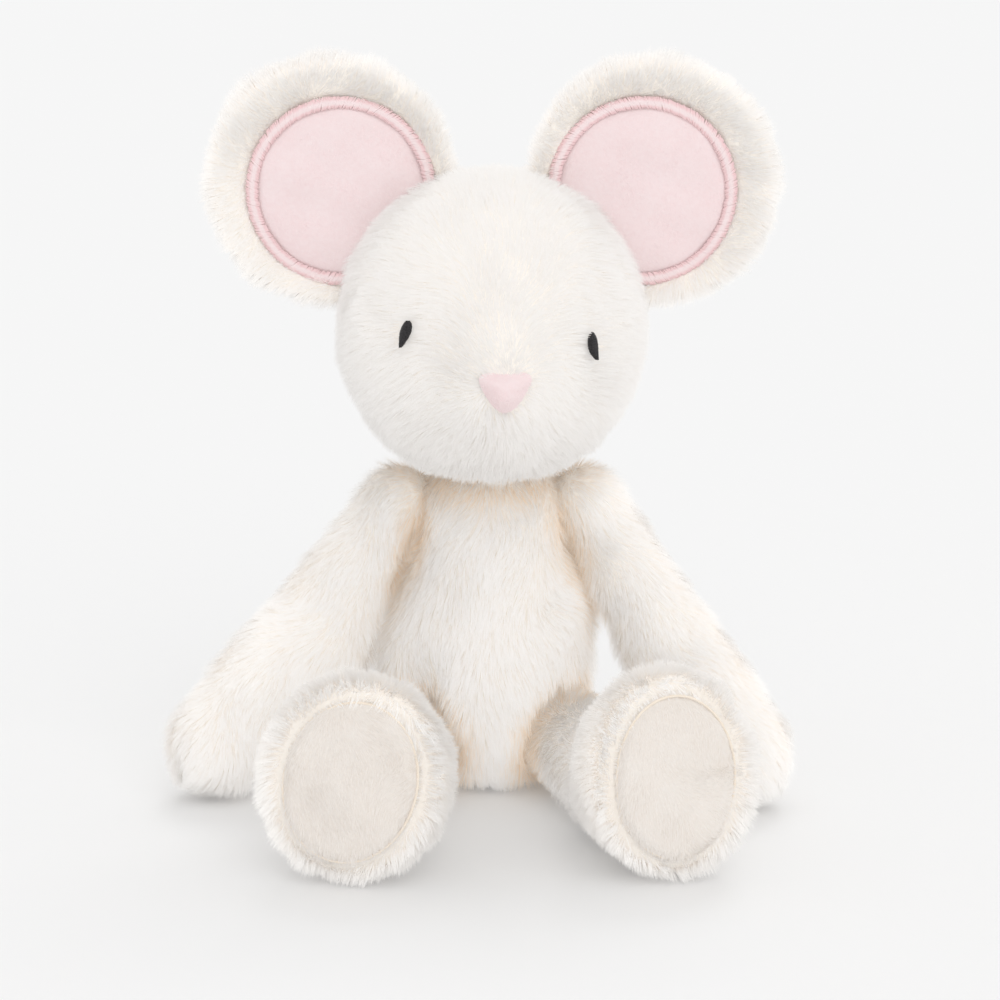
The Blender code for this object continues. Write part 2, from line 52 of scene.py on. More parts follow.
# Camera
CAMERA_DISTANCE = 1.0
CAMERA_RISE = radians(12)
CAMERA_LOOKS_AT = Vector((0.0024, 0.0, 0.0848))
CAMERA_STANDS_OVER = 0.108  # height of the point that distance and rise are counted from
LENS = 122.4
SENSOR = 36.0

# Light: an even sky, a wide key from the front, a back light whose soft shadow falls to the
# front, and weak fills from all round that cast no shadow
SKY = 0.745
KEY_STRENGTH = 0.44
KEY_ANGLE = radians(50)
KEY_TURN = (radians(42), 0.0, radians(24))
BACK_STRENGTH = 0.38
BACK_ANGLE = radians(24)
BACK_TURN = (radians(-34), 0.0, radians(-12))
FILL_TILT = radians(74)
FILLS = ((-50, 0.19), (40, 0.30), (130, 0.26), (220, 0.26))  # turn in degrees, and strength
FLOOR_TONE = 0.888

# Pile
ROOT_DEPTH = 0.4 * MM  # how deep in the skin a blade starts
LOWEST = 0.3 * MM  # pile that would reach the floor lies on it
# Near another body the pile is coloured tan: painted shade of the crease
CREASE_END = 11 * MM  # how near another body a crease begins
CREASE_DEPTH = 9 * MM  # how much nearer the other body is where the crease is deepest
SKIN_VOXEL = 1.7 * MM
STANDS_BELOW = 0.6  # the length of the combing along the skin under which the pile begins to stand
BEND = 0.3  # how far a blade's tip bends over, as a share of its length
PATCHES = (0.9, 0.12)  # of the pile's length: its mean, and how far that varies in patches
PATCH_SIZE = 6 * MM
LENGTHS = (0.7, 1.08)  # the shares of that length that single blades draw from
HOLDS = (0.4, 1.0)  # the shares of the pile's hold that single tufts draw from
CREASE_SHADE_TONE = 0.46  # how far up the tones a crease moves a strand, into the painted tan shade

# How deep each skin lies under the CAD's surface, to which the pile then reaches
INSET = {
    "head": 3.0 * MM,
    "torso": 1.9 * MM,
    "arm": 1.8 * MM,
    "leg": 2.3 * MM,
    "ear": 2.2 * MM,
    "tail": 0.8 * MM,
}
WRINKLE = 0.35  # mm, the height of the waves in the soles and the linings
THREAD_SIDES = 5  # of each thread's tube
LAYER_EDGE, LAYER_SPAN = 0.02, 0.96  # the OFBake layer is used between its edges
BLADE_WIDE, THREAD_WIDE = 0.04, 0.08  # how much of its width a blade and a thread take

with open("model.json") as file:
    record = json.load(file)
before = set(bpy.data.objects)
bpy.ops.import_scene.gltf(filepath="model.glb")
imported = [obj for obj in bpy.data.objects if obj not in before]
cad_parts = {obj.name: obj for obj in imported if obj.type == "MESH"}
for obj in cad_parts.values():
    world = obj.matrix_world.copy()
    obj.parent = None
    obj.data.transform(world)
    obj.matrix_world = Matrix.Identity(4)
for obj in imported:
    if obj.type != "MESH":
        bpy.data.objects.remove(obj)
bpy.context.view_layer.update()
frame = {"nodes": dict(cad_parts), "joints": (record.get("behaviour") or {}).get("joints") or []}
nodes = frame["nodes"]
joints = {joint["name"]: joint for joint in frame["joints"]}
# what the names of the sewn nodes hold
SEWN = ("torso_front", "torso_back", "head_left", "head_right", "head_gusset", "_outer", "_inner")


# ---------- camera, light and floor


def camera():
    """Stands in front of the toy, a little above it."""
    data = bpy.data.cameras.new("camera")
    data.lens = LENS
    data.sensor_width = SENSOR
    data.clip_start = 0.05
    data.clip_end = 30.0
    obj = bpy.data.objects.new("camera", data)
    bpy.context.scene.collection.objects.link(obj)
    back = Vector((0.0, -cos(CAMERA_RISE), sin(CAMERA_RISE))) * CAMERA_DISTANCE
    obj.location = Vector((0.0, 0.0, CAMERA_STANDS_OVER)) + back
    obj.rotation_euler = (CAMERA_LOOKS_AT - obj.location).to_track_quat("-Z", "Y").to_euler()
    bpy.context.scene.camera = obj


def light():
    scene = bpy.context.scene
    scene.view_settings.view_transform = "Standard"
    scene.view_settings.look = "None"
    world = bpy.data.worlds.new("studio")
    world.use_nodes = True
    sky = world.node_tree.nodes["Background"]
    sky.inputs["Color"].default_value = (1.0, 1.0, 1.0, 1.0)
    sky.inputs["Strength"].default_value = SKY
    scene.world = world
    sun("key", KEY_STRENGTH, KEY_TURN).angle = KEY_ANGLE
    sun("back", BACK_STRENGTH, BACK_TURN).angle = BACK_ANGLE
    for turn, strength in FILLS:
        sun(f"fill_{turn}", strength, (FILL_TILT, 0.0, radians(turn))).use_shadow = False


def sun(name, strength, turn):
    """Adds a sun, and hands back its settings."""
    data = bpy.data.lights.new(name, "SUN")
    data.energy = strength
    obj = bpy.data.objects.new(name, data)
    obj.rotation_euler = turn
    bpy.context.scene.collection.objects.link(obj)
    return data


# ---------- materials


class Shader:
    """A Principled material and short ways to wire nodes into it."""

    def __init__(self, name, roughness=0.9, sheen=0.0):
        self.mat = bpy.data.materials.new(name)
        self.mat.use_nodes = True
        self.tree = self.mat.node_tree
        self.main = self.tree.nodes["Principled BSDF"]
        self.main.inputs["Roughness"].default_value = roughness
        self.main.inputs["Sheen Weight"].default_value = sheen
        self.main.inputs["Specular IOR Level"].default_value = 0.25

    def node(self, kind, **values):
        made = self.tree.nodes.new(kind)
        for key, value in values.items():
            if key in made.inputs:
                made.inputs[key].default_value = value
            else:
                setattr(made, key, value)
        return made

    def wire(self, start, end):
        self.tree.links.new(start, end)

    def ramp(self, factor, stops):
        made = self.node("ShaderNodeValToRGB")
        marks = made.color_ramp.elements
        while len(marks) < len(stops):
            marks.new(0.5)
        for mark, (place, colour) in zip(marks, stops, strict=True):
            mark.position = place
            mark.color = (*colour, 1.0)
        self.wire(factor, made.inputs["Fac"])
        return made.outputs["Color"]

    def colour(self, socket):
        self.wire(socket, self.main.inputs["Base Color"])

    def place(self):
        return self.node("ShaderNodeTexCoord").outputs["Object"]

    def noise(self, scale, detail=3.0, roughness=0.6):
        made = self.node("ShaderNodeTexNoise", Scale=scale, Detail=detail, Roughness=roughness)
        self.wire(self.place(), made.inputs["Vector"])
        return made.outputs["Fac"]

    def layer(self):
        """The OFBake layer's two values: one for each strand, and how far along it."""
        split = self.node("ShaderNodeSeparateXYZ")
        self.wire(self.node("ShaderNodeUVMap", uv_map="OFBake").outputs["UV"], split.inputs["Vector"])
        return split.outputs["X"], split.outputs["Y"]

    def bump(self, height, distance, strength=0.6):
        made = self.node("ShaderNodeBump", Strength=strength, Distance=distance)
        self.wire(height, made.inputs["Height"])
        self.wire(made.outputs["Normal"], self.main.inputs["Normal"])


PLY_GRAIN = 2600.0  # the noise scale of a thread's plies
PLY_DEPTH = 0.06 * MM
# what a strand's colour is multiplied by: slight differences up to 0.5, then tan, the painted warm shade
# of the creases
TONES = ((0.0, (0.985,) * 3), (0.25, (1.0,) * 3), (0.5, (0.99,) * 3), (1.0, (1.0, 0.82, 0.62)))


def shaded_pile_material(name, root, middle, tip, sheen=0.15):
    """Pile that runs from its root colour, darkened as painted shade deep in the pile, to its tip
    colour, and turns tan deep in a crease as painted crease shade.
    """
    made = Shader(name, roughness=0.85, sheen=sheen)
    strand, rise = made.layer()
    # darker, warmer roots: painted shade deep in the pile, which casts no shadow of its own
    along = made.ramp(rise, ((0.0, root), (0.45, middle), (1.0, tip)))
    tone = made.ramp(strand, TONES)
    mix = made.node("ShaderNodeMix", data_type="RGBA", blend_type="MULTIPLY")
    mix.inputs["Factor"].default_value = 1.0
    made.wire(along, mix.inputs["A"])
    made.wire(tone, mix.inputs["B"])
    made.colour(mix.outputs["Result"])
    return made.mat


def cloth_material(name, low, high, grain=900.0, depth=0.25 * MM):
    """Brushed cloth: two close tones in a fine grain, and a bump from the same grain."""
    made = Shader(name, roughness=0.95, sheen=0.2)
    fine, wide = made.noise(grain), made.noise(grain / 14)
    both = made.node("ShaderNodeMath", operation="ADD")
    made.wire(fine, both.inputs[0])
    made.wire(wide, both.inputs[1])
    half = made.node("ShaderNodeMath", operation="MULTIPLY")
    made.wire(both.outputs[0], half.inputs[0])
    half.inputs[1].default_value = 0.5
    made.colour(made.ramp(half.outputs[0], ((0.3, low), (0.7, high))))
    made.bump(fine, depth)
    return made.mat


def thread_material(name, low, high, roughness=0.45):
    """Embroidery thread: fine plies along it, a soft gloss."""
    made = Shader(name, roughness=roughness, sheen=0.1)
    plies = made.noise(PLY_GRAIN, detail=2.0)
    made.colour(made.ramp(plies, ((0.3, low), (0.7, high))))
    made.bump(plies, PLY_DEPTH)
    return made.mat


def shaded_satin_material(name, edge, middle):
    """Satin stitches, darker in painted shade where they enter the cloth and towards their outer end,
    with their own rose along the raised middle.
    """
    made = Shader(name, roughness=0.5, sheen=0.1)
    stops = ((0.0, edge), (0.2, edge), (0.36, middle), (0.58, middle), (0.8, edge), (1.0, edge))
    made.colour(made.ramp(made.layer()[1], stops))
    made.bump(made.noise(PLY_GRAIN, detail=2.0), PLY_DEPTH)
    return made.mat


def floor_material():
    made = Shader("studio_floor", roughness=0.12)
    made.main.inputs["Specular IOR Level"].default_value = 0.0
    tone = made.noise(1.5)
    made.colour(made.ramp(tone, ((0.3, (FLOOR_TONE,) * 3), (0.7, (FLOOR_TONE + 0.003,) * 3))))
    return made.mat


# ---------- mesh helpers


def add_object(name, mesh, mat, body):
    """Puts a mesh in the scene with one material and one slot. It rides on the body, if one is given."""
    mesh.materials.clear()
    mesh.materials.append(mat)
    obj = bpy.data.objects.new(name, mesh)
    bpy.context.scene.collection.objects.link(obj)
    if body is not None:
        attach(obj, body)
    return obj


def mesh_from(name, points, faces):
    """A smooth mesh whose faces all look the same way."""
    mesh = bpy.data.meshes.new(name)
    mesh.from_pydata([tuple(p) for p in points], [], faces)
    bm = bmesh.new()
    bm.from_mesh(mesh)
    bmesh.ops.recalc_face_normals(bm, faces=bm.faces)
    bm.to_mesh(mesh)
    bm.free()
    mesh.shade_smooth()
    return mesh


def grid_faces(rows, columns, closed=False):
    """Quads over a grid of points stored row after row; closed joins the last column to the first."""
    last = columns if closed else columns - 1
    quads = []
    for r in range(rows - 1):
        for c in range(last):
            here, below, after = r * columns, (r + 1) * columns, (c + 1) % columns
            quads.append((here + c, here + after, below + after, below + c))
    return quads


def disc_faces(rows, columns):
    """Faces over a middle point and rings of points round it, stored from the middle outwards."""
    faces = [(0, 1 + c, 1 + (c + 1) % columns) for c in range(columns)]
    return faces + [tuple(1 + k for k in quad) for quad in grid_faces(rows, columns, closed=True)]


def vertex_array(mesh, what="co"):
    """A mesh's points, or its normals where anything but co is asked for."""
    values = np.empty(len(mesh.vertices) * 3, np.float32)
    source = mesh.vertices if what == "co" else mesh.vertex_normals
    source.foreach_get("co" if what == "co" else "vector", values)
    return values.reshape(-1, 3).astype(float)


def set_points(mesh, points):
    mesh.vertices.foreach_set("co", points.astype(np.float32).ravel())
    mesh.update()


def wave_noise(points, size, seed, channels=3, waves=8):
    """Smooth noise of about -1 to 1, whose bumps are about size across."""
    rng = np.random.default_rng(seed)
    made = np.zeros((len(points), channels))
    for channel in range(channels):
        ways = rng.normal(size=(waves, 3))
        ways *= (pi / size) / np.linalg.norm(ways, axis=1, keepdims=True)
        ways *= rng.uniform(0.6, 1.5, (waves, 1))
        phases = rng.uniform(0, 2 * pi, waves)
        made[:, channel] = np.sin(points @ ways.T + phases).sum(1) * sqrt(1.4 / waves)
    return made


def unit(vectors):
    """Vectors at unit length."""
    return vectors / np.maximum(np.linalg.norm(vectors, axis=1, keepdims=True), 1e-9)


def flatten(vectors, normals):
    """Vectors with what they have along the normals taken away, at unit length."""
    return unit(vectors - normals * (vectors * normals).sum(1, keepdims=True))


def combed(way):
    """A comb that lays the whole pile one way."""

    def comb(roots, normals):
        return flatten(np.tile(way, (len(roots), 1)), normals)

    return comb


def lean(vectors, normals):
    """Like flatten, but shorter where the combing meets the skin head-on, so the pile stands there."""
    flat = vectors - normals * (vectors * normals).sum(1, keepdims=True)
    return flat / np.maximum(np.linalg.norm(flat, axis=1, keepdims=True), STANDS_BELOW)


# ---------- skins


def skin_mesh(name, members, inset, smoothing=10, voxel=SKIN_VOXEL):
    """One closed surface round some CAD nodes, smoothed, and pulled in under the pile."""
    bm = bmesh.new()
    for member in members:
        bm.from_mesh(nodes[member].data)
    joined = bpy.data.meshes.new(name)
    bm.to_mesh(joined)
    bm.free()
    helper = bpy.data.objects.new(name, joined)
    bpy.context.scene.collection.objects.link(helper)
    remesh = helper.modifiers.new("remesh", "REMESH")
    remesh.mode = "VOXEL"
    remesh.voxel_size = voxel
    smooth = helper.modifiers.new("smooth", "SMOOTH")
    smooth.factor = 0.5
    smooth.iterations = smoothing
    deps = bpy.context.evaluated_depsgraph_get()
    mesh = bpy.data.meshes.new_from_object(helper.evaluated_get(deps))
    mesh.name = name
    bpy.data.objects.remove(helper)
    keep_outermost(mesh)
    set_points(mesh, vertex_array(mesh) - vertex_array(mesh, "normal") * inset)
    mesh.shade_smooth()
    return mesh


def keep_outermost(mesh):
    """Leaves only the widest of a mesh's separate shells."""
    bm = bmesh.new()
    bm.from_mesh(mesh)
    left = set(bm.verts)
    shells = []
    while left:
        stack = [left.pop()]
        shell = set(stack)
        while stack:
            for edge in stack.pop().link_edges:
                for vert in edge.verts:
                    if vert in left:
                        left.discard(vert)
                        shell.add(vert)
                        stack.append(vert)
        shells.append(shell)
    widest = max(shells, key=lambda s: max(v.co.z for v in s) - min(v.co.z for v in s) + len(s) * 1e-7)
    bmesh.ops.delete(bm, geom=[v for s in shells if s is not widest for v in s], context="VERTS")
    bm.to_mesh(mesh)
    bm.free()


def swell(mesh, places):
    """Plumps a skin out along its normals round given places: (place, reach, rise), in mm."""
    points, normals = vertex_array(mesh), vertex_array(mesh, "normal")
    for place, reach, rise in places:
        away = np.linalg.norm(points - np.array(place) * MM, axis=1) / (reach * MM)
        points = points + normals * (rise * MM * np.clip(1 - away**2, 0, 1) ** 2)[:, None]
    set_points(mesh, points)


# ---------- pile


def scatter(mesh, density, rng, weight=None):
    """Random places on a mesh, so many for each square metre: points and normals."""
    mesh.calc_loop_triangles()
    corners = np.empty(len(mesh.loop_triangles) * 3, np.int32)
    mesh.loop_triangles.foreach_get("vertices", corners)
    corners = corners.reshape(-1, 3)
    points, normals = vertex_array(mesh), vertex_array(mesh, "normal")
    a, b, c = (points[corners[:, k]] for k in range(3))
    area = np.linalg.norm(np.cross(b - a, c - a), axis=1) / 2
    if weight is not None:
        area = area * weight((a + b + c) / 3, unit(normals[corners].sum(1)))
    total = area.cumsum()
    picked = np.searchsorted(total, rng.uniform(0, total[-1], int(total[-1] * density)))
    picked = np.minimum(picked, len(corners) - 1)
    u, v = rng.uniform(size=(2, len(picked), 1))
    over = (u + v) > 1
    u, v = np.where(over, 1 - u, u), np.where(over, 1 - v, v)
    mix = (1 - u - v, u, v)
    place = sum(m * points[corners[picked, k]] for k, m in enumerate(mix))
    normal = sum(m * normals[corners[picked, k]] for k, m in enumerate(mix))
    return place, unit(normal)


def nearest_of(centres, places):
    """For each place, which of the centres is nearest to it."""
    tree = KDTree(len(centres))
    for k, centre in enumerate(centres):
        tree.insert(centre, k)
    tree.balance()
    return np.array([tree.find(p)[1] for p in places])


class Pile:
    """How one stretch of pile grows.

    Density is in blades for each square metre. Lift is 0 along the comb and 1 upright. Clump is how
    far apart tufts are, and hold how strongly they gather. Wild and twist let single blades stray
    and turn, swirl lets the comb wander, and droop hangs the tips.
    """

    def __init__(self, length, density=4.6e6, lift=0.7, width=0.24 * MM, clump=2.6 * MM,
                 hold=0.5, wild=0.16, twist=0.2, swirl=0.5, swirl_size=14 * MM, droop=0.1, joints=2):
        self.length, self.density, self.lift, self.width = length, density, lift, width
        self.clump, self.hold, self.wild, self.twist = clump, hold, wild, twist
        self.swirl, self.swirl_size, self.droop = swirl, swirl_size, droop
        self.shape = BLADES[joints]


class Blade:
    """A blade's rows from root to tip: shares of its length and of its width, and its faces."""

    def __init__(self, rows, widths, faces):
        self.rows, self.widths, self.faces = rows, widths, faces
        self.points = 2 * len(rows) - 1
        self.rise = [rows[k // 2] for k in range(self.points)]
        self.side = [BLADE_WIDE * (k % 2) for k in range(self.points - 1)] + [BLADE_WIDE / 2]


BLADES = {
    1: Blade((0.0, 1.0), (1.0, 0.0), ((0, 1, 2),)),
    2: Blade((0.0, 0.5, 1.0), (1.0, 0.8, 0.0), ((0, 1, 3, 2), (2, 3, 4))),
}


def blades(name, roots, normals, comb, pile, rng, seed, length_of=None):
    """A mesh of tapered blades, held together in tufts, with the OFBake layer."""
    count, shape = len(roots), pile.shape
    comb = lean(comb + wave_noise(roots, pile.swirl_size, seed) * pile.swirl, normals)
    way = normals * pile.lift + comb * (1 - pile.lift) + rng.normal(size=(count, 3)) * pile.wild / 2
    way = unit(way)
    patchy = PATCHES[0] + PATCHES[1] * wave_noise(roots, PATCH_SIZE, seed + 1, 1)[:, 0]
    length = pile.length * patchy
    length *= rng.uniform(*LENGTHS, count)
    if length_of is not None:
        length *= length_of(roots)
    size = length[:, None]
    bent = comb * BEND + np.array((0.0, 0.0, -pile.droop))
    rows = [roots - normals * ROOT_DEPTH + size * (t * way + t * t * bent) for t in shape.rows]
    spread = 1 / (pile.clump**2 * pile.density)
    middles = rng.choice(count, max(1, int(count * spread)), replace=False)
    near = middles[nearest_of(roots[middles], roots)]
    hold = pile.hold * rng.uniform(*HOLDS, count)[near][:, None]
    rows = [row + (row[near] - row) * hold * t for row, t in zip(rows, shape.rows, strict=True)]
    face = unit(normals + rng.normal(size=(count, 3)) * pile.twist)
    across = unit(np.cross(way, face)) * (pile.width / 2)
    points = []
    for row, wide in zip(rows, shape.widths, strict=True):
        points += [row - across * wide, row + across * wide] if wide else [row]
    points = np.stack(points, axis=1).reshape(-1, 3)
    points[:, 2] = np.maximum(points[:, 2], LOWEST)
    # a root in a crease gets painted tan shade on top of its random tone
    tone = rng.uniform(0.0, 0.5, count) + CREASE_SHADE_TONE * crease_shade_of(roots, name)
    return blade_mesh(name, points, shape, tone)


def crease_shade_of(roots, name):
    """How deep each root is in a crease, which sets its painted tan shade: 1 against another body, 0
    well away from all.
    """
    own = "_".join(name.split("_")[:-1])
    if not name.endswith("_fur") or name.startswith("ear"):
        return np.zeros(len(roots))
    trees = [tree for node, tree in SURFACES.items() if not node.startswith(own)]
    deep = []
    for root in roots:
        found = [tree.find_nearest(root, CREASE_END)[3] for tree in trees]
        near = min((d for d in found if d is not None), default=CREASE_END)
        deep.append(min(1.0, (CREASE_END - near) / CREASE_DEPTH))
    return np.array(deep)


def blade_mesh(name, points, shape, tone):
    """Makes the blades' mesh and its OFBake layer: tone across, and from root to tip upwards."""
    count = len(points) // shape.points
    pattern = np.concatenate(shape.faces)
    corners = (np.arange(count)[:, None] * shape.points + pattern).ravel()
    firsts = np.cumsum([0, *(len(face) for face in shape.faces[:-1])])
    starts = (np.arange(count)[:, None] * len(pattern) + firsts).ravel()
    mesh = bpy.data.meshes.new(name)
    mesh.vertices.add(len(points))
    mesh.vertices.foreach_set("co", points.astype(np.float32).ravel())
    mesh.loops.add(len(corners))
    mesh.loops.foreach_set("vertex_index", corners.astype(np.int32))
    mesh.polygons.add(len(starts))
    mesh.polygons.foreach_set("loop_start", starts.astype(np.int32))
    mesh.update(calc_edges=True)
    layer = mesh.uv_layers.new(name="OFBake")
    tone = tone[:, None] + np.array(shape.side)[pattern]
    rise = np.broadcast_to(LAYER_EDGE + LAYER_SPAN * np.array(shape.rise)[pattern], tone.shape)
    spots = np.stack((tone, rise), axis=2)
    layer.data.foreach_set("uv", spots.astype(np.float32).ravel())
    mesh.shade_smooth()
    return mesh


def grow(name, skin, body, pile, comb, mat, seed, weight=None, length_of=None):
    """Grows pile on a skin. The pile casts no shadow, which keeps it as soft as real pile."""
    rng = np.random.default_rng(seed)
    roots, normals = scatter(skin, pile.density, rng, weight)
    made = blades(name, roots, normals, comb(roots, normals), pile, rng, seed, length_of)
    obj = add_object(name, made, mat, body)
    obj.visible_shadow = False
    return obj


def surface(node):
    """A CAD node's surface, ready to be asked how far away it is."""
    mesh = nodes[node].data
    return BVHTree.FromPolygons(vertex_array(mesh).tolist(), [list(f.vertices) for f in mesh.polygons])


SURFACES = {node: surface(node) for node in nodes if any(part in node for part in SEWN)}


# ---------- materials in use


# Each pile's root tone is darker and warmer than its tip: painted shade in the depth of the pile
CREAM = shaded_pile_material("cream_pile", (0.96, 0.90, 0.84), (0.975, 0.957, 0.938), (0.978, 0.968, 0.958))
# The head's pile is the same cream fabric, painted a shade darker because the head takes more light
HEAD_SHADED_TONES = ((0.928, 0.897, 0.864), (0.929, 0.909, 0.888), (0.931, 0.918, 0.906))
HEAD_SHADED_CREAM = shaded_pile_material("head_pile", *HEAD_SHADED_TONES)
PINK_PILE = shaded_pile_material("pink_pile", (0.87, 0.69, 0.70), (0.90, 0.765, 0.77), (0.91, 0.81, 0.815))
SHORT_PILE = shaded_pile_material("sole_pile", (0.84, 0.78, 0.72), (0.875, 0.835, 0.795), (0.90, 0.865, 0.835))
BACKING = cloth_material("cream_backing", (0.95, 0.89, 0.82), (0.965, 0.93, 0.88))
SOLE_CLOTH = cloth_material("sole_cloth", (0.82, 0.76, 0.70), (0.865, 0.825, 0.785), grain=700.0)
PINK_CLOTH = cloth_material("pink_cloth", (0.89, 0.72, 0.725), (0.92, 0.79, 0.795), grain=800.0)
# the rose thread is darkened at the stitches' ends: painted shade
ROSE = shaded_satin_material("rose_thread", (0.93, 0.69, 0.70), (0.962, 0.82, 0.825))
# The seam is real; its tan cord is painted shade where the pile parts round the sole
SEAM_SHADE_TAN = thread_material("seam_shade_thread", (0.90, 0.79, 0.66), (0.94, 0.86, 0.76), 0.8)
BLACK = thread_material("black_thread", (0.010, 0.009, 0.010), (0.045, 0.042, 0.045), 0.35)


# ---------- head


MUZZLE_SWELL = (24, 2.9)  # reach and rise in mm, which bring the skin up to the nose
MUZZLE_SHORT = 0.7  # the share of the pile's length at the nose
MUZZLE_START = 6 * MM  # how far from the nose's middle the pile begins to lengthen
MUZZLE_ZONE = 26 * MM  # the stretch in which it lengthens
HEAD_FALL = 0.08  # how much of the comb points down at the muzzle
HEAD_COMB_TURN = 80 * MM  # behind the muzzle by this much, the pile is combed straight down


def head():
    """The head, combed away from the muzzle and downwards at the back, with eyes and nose."""
    members = ("head_left_panel", "head_right_panel", "head_gusset", "head_stuffing")
    skin = skin_mesh("head_skin", members, INSET["head"])
    low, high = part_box("nose")
    muzzle = np.array(((low + high) / 2)[:])
    swell(skin, ((muzzle / MM, *MUZZLE_SWELL),))
    obj = add_object("head_skin", skin, BACKING, "head")
    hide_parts(*members)

    def comb(roots, normals):
        back = np.clip((roots[:, 1] - muzzle[1]) / HEAD_COMB_TURN, 0, 1)[:, None]
        away = unit(roots - muzzle) * (1 - back)
        return flatten(away - np.array((0, 0, 1.0)) * (back + HEAD_FALL), normals)

    def shorter_at_muzzle(roots):
        near = np.linalg.norm(roots - muzzle, axis=1)
        return MUZZLE_SHORT + (1 - MUZZLE_SHORT) * np.clip((near - MUZZLE_START) / MUZZLE_ZONE, 0, 1)

    bare = [bald_spot(f"eye_{side}", 0.78) for side in SIDES] + [bald_spot("nose", 0.7, NOSE_DROP)]

    def weight(places, normals):
        return np.prod([spot(places) for spot in bare], axis=0)

    pile = Pile(5.2 * MM, lift=0.5, density=5.8e6, width=0.26 * MM, hold=0.3, clump=2.2 * MM,
                wild=0.12, twist=0.1, swirl=0.28, joints=1)
    # the head's pile wears the darker copy of the cream: painted shade
    grow("head_fur", skin, "head", pile, comb, HEAD_SHADED_CREAM, 11, weight, shorter_at_muzzle)
    for side in SIDES:
        eye(side)
    nose()


def bald_spot(node, share, drop=0.0):
    """A weight that is 0 in an oval behind a node, or lower by the drop, and 1 elsewhere."""
    low, high = (np.array(corner[:]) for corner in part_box(node))
    middle, half = (low + high) / 2 - np.array((0, 0, drop)), (high - low) / 2 * share

    def weight(places):
        off = ((places - middle) / half)[:, (0, 2)]
        at_the_back = places[:, 1] > 0
        return np.where(((off**2).sum(1) > 1) | at_the_back, 1.0, 0.0)

    return weight


def ring(middle, radius, sides, side, up):
    """Points round one section of a tube; side and up span it."""
    turns = [2 * pi * k / sides for k in range(sides)]
    return [middle + side * (radius * cos(t)) + up * (radius * sin(t)) for t in turns]


def tube(path, radii, sides, side, up):
    """Points and faces of a closed tube along a path."""
    points = []
    for middle, radius in zip(path, radii, strict=True):
        points += ring(middle, radius, sides, side, up)
    faces = grid_faces(len(path), sides, closed=True)
    faces.append(tuple(range(sides)))
    faces.append(tuple((len(path) - 1) * sides + k for k in reversed(range(sides))))
    return points, faces


def thread_layer(mesh, rows, sides, rng):
    """The OFBake layer of a mesh of tubes: a narrow column for each thread, from end to end."""
    corners = np.empty(len(mesh.loops), np.int32)
    mesh.loops.foreach_get("vertex_index", corners)
    thread, within = np.divmod(corners, rows * sides)
    row, corner = np.divmod(within, sides)
    column = rng.uniform(0.0, 0.9, thread.max() + 1)
    across = column[thread] + THREAD_WIDE * corner / sides
    spots = np.stack((across, LAYER_EDGE + LAYER_SPAN * row / (rows - 1)), axis=1)
    mesh.uv_layers.new(name="OFBake").data.foreach_set("uv", spots.astype(np.float32).ravel())


def taper(ends, share):
    """How thick a thread is along it: this share at its ends, and 1 in its middle."""
    return ends + (1 - ends) * sin(pi * share)


def gather(parts):
    """One list of points and faces from several."""
    points, faces = [], []
    for some_points, some_faces in parts:
        faces += [tuple(len(points) + k for k in face) for face in some_faces]
        points += some_points
    return points, faces


class Spot:
    """The plane of an applied piece: its middle, and its right, up and outward directions."""

    def __init__(self, node):
        points = vertex_array(nodes[node].data)
        self.middle = (points.max(0) + points.min(0)) / 2
        flat = points - points.mean(0)
        ways = np.linalg.eigh(flat.T @ flat)[1]
        self.out = ways[:, 0] * -np.sign(ways[1, 0])
        self.right = unit(np.cross((0.0, 0.0, 1.0), self.out)[None])[0]
        self.up = np.cross(self.out, self.right)

    def at(self, right, up, out=0.0):
        """A place counted from the middle."""
        return self.middle + self.right * right + self.up * up + self.out * out


EYE_HEIGHT = 8.0 * MM
EYE_WIDTH = 3.5 * MM
EYE_LEAN = radians(15)
EYE_THREADS = 26
EYE_ROWS = 7  # of sections along each thread
EYE_FULLEST = 0.72  # under 1, this moves the widest place up from the middle
EYE_ROUND = 0.8  # under 1, this makes its ends rounder
EYE_RAGGED = 0.12  # mm by which the threads' ends vary
EYE_SLANT = 0.35  # how much a thread climbs on its way across
EYE_THREAD = 0.24 * MM  # half of a thread's thickness
EYE_TAPER = 0.75
EYE_ARCH = 1.0 * MM  # how far a thread's middle stands over its ends
EYE_SINK = 0.5 * MM  # how deep its ends go


def eye(side):
    """A teardrop of satin stitches, fullest in its upper half."""
    spot = Spot(f"eye_{side}")
    tilt = -SIDES[side] * EYE_LEAN
    rng = np.random.default_rng(70 + SIDES[side])
    threads = []
    for k in range(EYE_THREADS):
        down = (k + 0.5) / EYE_THREADS
        half = EYE_WIDTH / 2 * sin(pi * down**EYE_FULLEST) ** EYE_ROUND
        half += rng.uniform(0.0, EYE_RAGGED) * MM
        path = []
        for j in range(EYE_ROWS):
            share = 2 * j / (EYE_ROWS - 1) - 1
            x, z = half * share, EYE_HEIGHT * (0.5 - down) + half * EYE_SLANT * share
            turned = (x * cos(tilt) + z * sin(tilt), z * cos(tilt) - x * sin(tilt))
            path.append(spot.at(*turned, EYE_ARCH * (1 - share * share) ** 0.5 - EYE_SINK))
        thick = [EYE_THREAD * taper(EYE_TAPER, j / (EYE_ROWS - 1)) for j in range(EYE_ROWS)]
        threads.append(tube(path, thick, THREAD_SIDES, spot.up, spot.out))
    mesh = mesh_from(f"eye_{side}_satin", *gather(threads))
    obj = add_object(f"eye_{side}_satin", mesh, BLACK, "head")
    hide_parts(f"eye_{side}")


